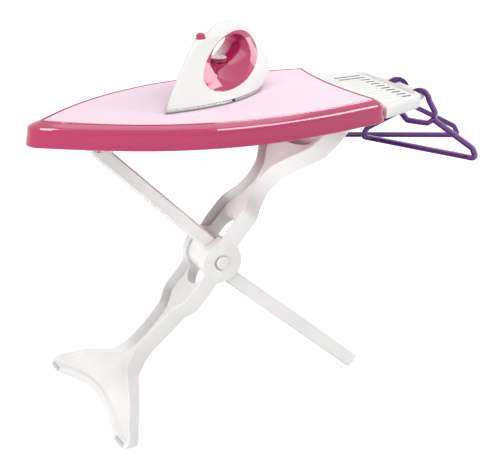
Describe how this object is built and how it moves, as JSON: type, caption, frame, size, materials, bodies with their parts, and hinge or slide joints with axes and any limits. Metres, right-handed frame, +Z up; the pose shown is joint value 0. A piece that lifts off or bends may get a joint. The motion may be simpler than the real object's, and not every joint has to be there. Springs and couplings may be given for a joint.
{
  "type": "toy ironing board",
  "caption": "Boat-shaped toy ironing board on a folding scissor stand, with a slotted iron rest, a lift-off toy iron and swinging clothes hangers.",
  "frame": {"origin": "on the floor, at the middle of the object's length and width", "axes": "+X from the board's nose to the iron rest, +Z up, +Y to the side away from the picture's camera"},
  "size_m": [0.6884, 0.3068, 0.5355],
  "materials": {
    "pink_plastic": "glossy deep pink",
    "cover_cloth": "matt pale pink",
    "white_plastic": "satin white",
    "purple_plastic": "glossy purple",
    "sole_grey": "silver-grey",
    "pad_rubber": "matt light grey",
    "steel": "plain"
  },
  "bodies": {
    "board": {"board_shell": "pink_plastic", "cover": "cover_cloth", "iron_rest": "white_plastic", "rest_screw_1": "steel", "rest_screw_2": "steel", "rest_screw_3": "steel", "rest_screw_4": "steel", "hinge_bracket": "white_plastic", "hinge_screw_1": "steel", "hinge_screw_2": "steel", "hinge_screw_3": "steel", "hinge_screw_4": "steel", "hinge_rod": "steel", "rod_cap_near": "steel", "rod_cap_far": "steel", "catch_bracket": "white_plastic", "catch_screw_1": "steel", "catch_screw_2": "steel"},
    "main_leg": {"main_leg": "white_plastic", "pivot_pin": "white_plastic", "pivot_cap": "white_plastic", "foot_pad_near": "pad_rubber", "foot_pad_far": "pad_rubber"},
    "brace": {"brace_leg": "white_plastic", "track_peg": "steel"},
    "iron": {"iron_shell_near": "white_plastic", "iron_shell_far": "white_plastic", "iron_liner": "pink_plastic", "soleplate": "sole_grey", "iron_screw_1": "steel", "iron_screw_2": "steel", "iron_screw_3": "steel", "button_spring": "steel"},
    "dial": {"iron_dial": "white_plastic"},
    "button": {"iron_button": "pink_plastic"},
    "hanger_near": {"hanger_near": "purple_plastic"},
    "hanger_far": {"hanger_far": "purple_plastic"}
  },
  "joints": [
    {"name": "leg_fold", "type": "hinge", "parent": "board", "child": "main_leg", "pos_m": [0.10227, 0, 0.3925], "axis": [0, 1, 0], "range_deg": [0, 34]},
    {"name": "brace_fold", "type": "hinge", "parent": "main_leg", "child": "brace", "pos_m": [-0.07283, 0, 0.1984], "axis": [0, 1, 0], "range_deg": [-70, 0]},
    {"name": "iron_lift", "type": "slide", "parent": "board", "child": "iron", "axis": [0, 0, 1], "range_m": [0, 0.15]},
    {"name": "dial_turn", "type": "hinge", "parent": "iron", "child": "dial", "pos_m": [-0.04889, 0.02195, 0.4885], "axis": [0, 0, 1], "range_deg": [0, 270]},
    {"name": "button_press", "type": "slide", "parent": "iron", "child": "button", "axis": [0, 0, -1], "range_m": [0, 0.0035], "stiffness_N_per_m": 150, "springref_m": -0.003, "deforming": ["button_spring"]},
    {"name": "hanger_near_swing", "type": "hinge", "parent": "board", "child": "hanger_near", "pos_m": [0.24731, -0.05658, 0.40755], "axis": [-0.8988, -0.4384, 0], "range_deg": [-2, 20]},
    {"name": "hanger_far_swing", "type": "hinge", "parent": "board", "child": "hanger_far", "pos_m": [0.25517, 0.018, 0.40755], "axis": [-0.4695, -0.8829, 0], "range_deg": [-10, 15]}
  ],
  "couplings": [
    {"joint": "brace_fold", "follows": "leg_fold", "ratio": -2}
  ]
}
